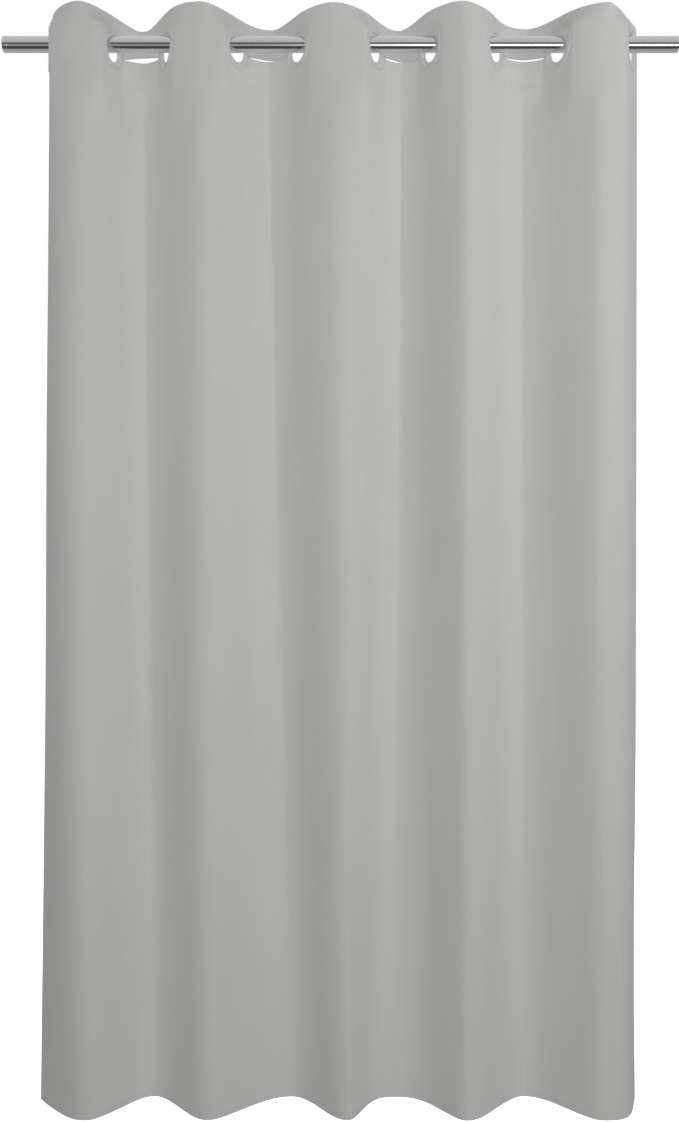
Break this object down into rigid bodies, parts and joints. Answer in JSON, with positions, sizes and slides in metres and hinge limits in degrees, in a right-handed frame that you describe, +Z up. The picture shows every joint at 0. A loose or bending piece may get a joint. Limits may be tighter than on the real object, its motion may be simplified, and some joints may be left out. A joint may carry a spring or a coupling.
{
  "type": "curtain panel",
  "caption": "Plain fabric eyelet curtain panel hung in upright folds on a chromed round rod, with split easy-hang eyelets and slits in its back folds.",
  "frame": {"origin": "middle of the rod's axis, where the rod is held", "axes": "+X along the rod to the right seen from the room, +Y to the window side, +Z up"},
  "size_m": [1.0822, 0.0998, 1.75],
  "materials": {
    "cloth": "matte woven cloth, light grey",
    "heading_tape": "stiff non-woven tape, pale grey",
    "eyelet": "satin, dyed to the cloth's grey",
    "rod": "polished chrome plate"
  },
  "bodies": {
    "rod": {"rod_tube": "rod", "rod_cap_left": "rod", "rod_cap_right": "rod"},
    "flank_01": {"cloth_flank_01": "cloth", "cloth_heading_01": "cloth", "heading_tape_01": "heading_tape", "eyelet_front_01": "eyelet", "eyelet_back_01": "eyelet", "side_hem_left": "cloth"},
    "flank_02": {"cloth_flank_02": "cloth", "cloth_heading_02": "cloth", "heading_tape_02": "heading_tape", "eyelet_front_02": "eyelet", "eyelet_back_02": "eyelet"},
    "flank_03": {"cloth_flank_03": "cloth", "cloth_heading_03": "cloth", "heading_tape_03": "heading_tape", "eyelet_front_03": "eyelet", "eyelet_back_03": "eyelet"},
    "flank_04": {"cloth_flank_04": "cloth", "cloth_heading_04": "cloth", "heading_tape_04": "heading_tape", "eyelet_front_04": "eyelet", "eyelet_back_04": "eyelet"},
    "flank_05": {"cloth_flank_05": "cloth", "cloth_heading_05": "cloth", "heading_tape_05": "heading_tape", "eyelet_front_05": "eyelet", "eyelet_back_05": "eyelet"},
    "flank_06": {"cloth_flank_06": "cloth", "cloth_heading_06": "cloth", "heading_tape_06": "heading_tape", "eyelet_front_06": "eyelet", "eyelet_back_06": "eyelet"},
    "flank_07": {"cloth_flank_07": "cloth", "cloth_heading_07": "cloth", "heading_tape_07": "heading_tape", "eyelet_front_07": "eyelet", "eyelet_back_07": "eyelet"},
    "flank_08": {"cloth_flank_08": "cloth", "cloth_heading_08": "cloth", "heading_tape_08": "heading_tape", "eyelet_front_08": "eyelet", "eyelet_back_08": "eyelet"},
    "flank_09": {"cloth_flank_09": "cloth", "cloth_heading_09": "cloth", "heading_tape_09": "heading_tape", "eyelet_front_09": "eyelet", "eyelet_back_09": "eyelet"},
    "flank_10": {"cloth_flank_10": "cloth", "cloth_heading_10": "cloth", "heading_tape_10": "heading_tape", "eyelet_front_10": "eyelet", "eyelet_back_10": "eyelet", "side_hem_right": "cloth"}
  },
  "joints": [
    {"name": "gather", "type": "hinge", "parent": "rod", "child": "flank_06", "pos_m": [0.05576, 0, 0], "axis": [0, 0, 1], "range_deg": [-6, 26]},
    {"name": "crest_06", "type": "hinge", "parent": "flank_06", "child": "flank_07", "pos_m": [0.09992, 0.04613, 0], "axis": [0, 0, -1], "range_deg": [-12, 52]},
    {"name": "crest_07", "type": "hinge", "parent": "flank_07", "child": "flank_08", "pos_m": [0.19652, -0.04786, 0], "axis": [0, 0, 1], "range_deg": [-12, 52]},
    {"name": "crest_08", "type": "hinge", "parent": "flank_08", "child": "flank_09", "pos_m": [0.29864, 0.04166, 0], "axis": [0, 0, -1], "range_deg": [-12, 52]},
    {"name": "crest_09", "type": "hinge", "parent": "flank_09", "child": "flank_10", "pos_m": [0.40684, -0.04219, 0], "axis": [0, 0, 1], "range_deg": [-12, 52]},
    {"name": "crest_05", "type": "hinge", "parent": "flank_06", "child": "flank_05", "pos_m": [-0.00656, -0.03784, 0], "axis": [0, 0, -1], "range_deg": [-12, 52]},
    {"name": "crest_04", "type": "hinge", "parent": "flank_05", "child": "flank_04", "pos_m": [-0.11718, 0.04287, 0], "axis": [0, 0, 1], "range_deg": [-12, 52]},
    {"name": "crest_03", "type": "hinge", "parent": "flank_04", "child": "flank_03", "pos_m": [-0.22248, -0.04373, 0], "axis": [0, 0, -1], "range_deg": [-12, 52]},
    {"name": "crest_02", "type": "hinge", "parent": "flank_03", "child": "flank_02", "pos_m": [-0.32226, 0.0471, 0], "axis": [0, 0, 1], "range_deg": [-12, 52]},
    {"name": "crest_01", "type": "hinge", "parent": "flank_02", "child": "flank_01", "pos_m": [-0.4152, -0.04967, 0], "axis": [0, 0, -1], "range_deg": [-12, 52]}
  ],
  "couplings": [
    {"joint": "crest_06", "follows": "gather", "ratio": 2},
    {"joint": "crest_07", "follows": "gather", "ratio": 2},
    {"joint": "crest_08", "follows": "gather", "ratio": 2},
    {"joint": "crest_09", "follows": "gather", "ratio": 2},
    {"joint": "crest_05", "follows": "gather", "ratio": 2},
    {"joint": "crest_04", "follows": "gather", "ratio": 2},
    {"joint": "crest_03", "follows": "gather", "ratio": 2},
    {"joint": "crest_02", "follows": "gather", "ratio": 2},
    {"joint": "crest_01", "follows": "gather", "ratio": 2}
  ]
}
